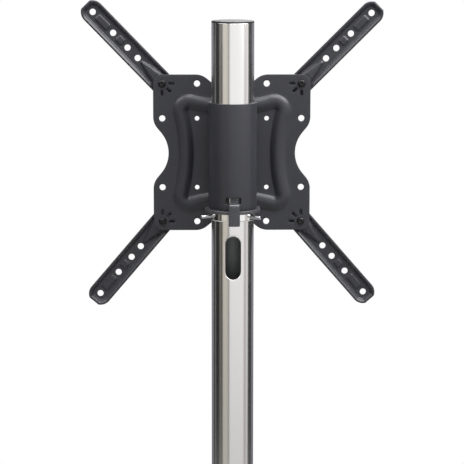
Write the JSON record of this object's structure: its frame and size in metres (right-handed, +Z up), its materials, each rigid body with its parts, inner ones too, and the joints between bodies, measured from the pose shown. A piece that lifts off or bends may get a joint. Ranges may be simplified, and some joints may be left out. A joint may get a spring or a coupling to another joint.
{
  "type": "tv stand with mount",
  "caption": "Floor stand for a screen: steel tube on a round base, height-adjustable clamp ring, turning sleeve and a pressed plate with folding arms.",
  "frame": {"origin": "on the floor under the tube's axis", "axes": "+Z up along the tube, +Y towards the screen, +X to the right seen from the tube's side"},
  "size_m": [0.5999, 0.6, 1.5255],
  "materials": {
    "black_powder": "fine textured matt powder coat",
    "brushed_stainless": "fine ground round the tube",
    "polished_stainless": "polished",
    "black_plastic": "moulded, slightly textured",
    "grey_plastic": "turned nylon",
    "white_plastic": "nylon",
    "black_steel": "black oxide, slightly glossy",
    "zinc": "bright zinc plate",
    "rubber": "matt"
  },
  "bodies": {
    "stand": {"base_plate": "black_powder", "foot_pads": "rubber", "pad_screws": "zinc", "foot_flange": "black_powder", "flange_bolts": "zinc", "flange_washers": "zinc", "foot_cover": "brushed_stainless", "pole": "brushed_stainless", "pole_cap": "black_plastic"},
    "carriage": {"clamp_ring": "polished_stainless", "clamp_screws": "polished_stainless", "thrust_washer": "grey_plastic"},
    "head": {"sleeve": "black_powder", "upper_bush": "black_plastic", "lower_bush": "black_plastic", "stop_tab": "black_powder", "plate_bracket": "black_powder", "bracket_bolts": "black_steel", "bracket_nuts": "zinc", "mount_plate": "black_powder", "pivot_screws": "black_steel", "pivot_washers": "white_plastic", "pivot_nuts": "zinc"},
    "arm_upper_left": {"arm_upper_left": "black_powder"},
    "arm_upper_right": {"arm_upper_right": "black_powder"},
    "arm_lower_left": {"arm_lower_left": "black_powder"},
    "arm_lower_right": {"arm_lower_right": "black_powder"}
  },
  "joints": [
    {"name": "height_slide", "type": "slide", "parent": "stand", "child": "carriage", "axis": [0, 0, 1], "range_m": [-0.8, 0.1]},
    {"name": "swivel", "type": "hinge", "parent": "carriage", "child": "head", "pos_m": [0, 0, 1.307], "axis": [0, 0, 1], "range_deg": [-54, 34]},
    {"name": "arm_upper_left_pivot", "type": "hinge", "parent": "head", "child": "arm_upper_left", "pos_m": [-0.1, 0.05656, 1.407], "axis": [0, -1, 0], "range_deg": [-44, 46]},
    {"name": "arm_upper_right_pivot", "type": "hinge", "parent": "head", "child": "arm_upper_right", "pos_m": [0.1, 0.05656, 1.407], "axis": [0, -1, 0], "range_deg": [-45, 45]},
    {"name": "arm_lower_left_pivot", "type": "hinge", "parent": "head", "child": "arm_lower_left", "pos_m": [-0.1, 0.05656, 1.207], "axis": [0, -1, 0], "range_deg": [-49.5, 40.5]},
    {"name": "arm_lower_right_pivot", "type": "hinge", "parent": "head", "child": "arm_lower_right", "pos_m": [0.1, 0.05656, 1.207], "axis": [0, -1, 0], "range_deg": [-41, 49]}
  ]
}
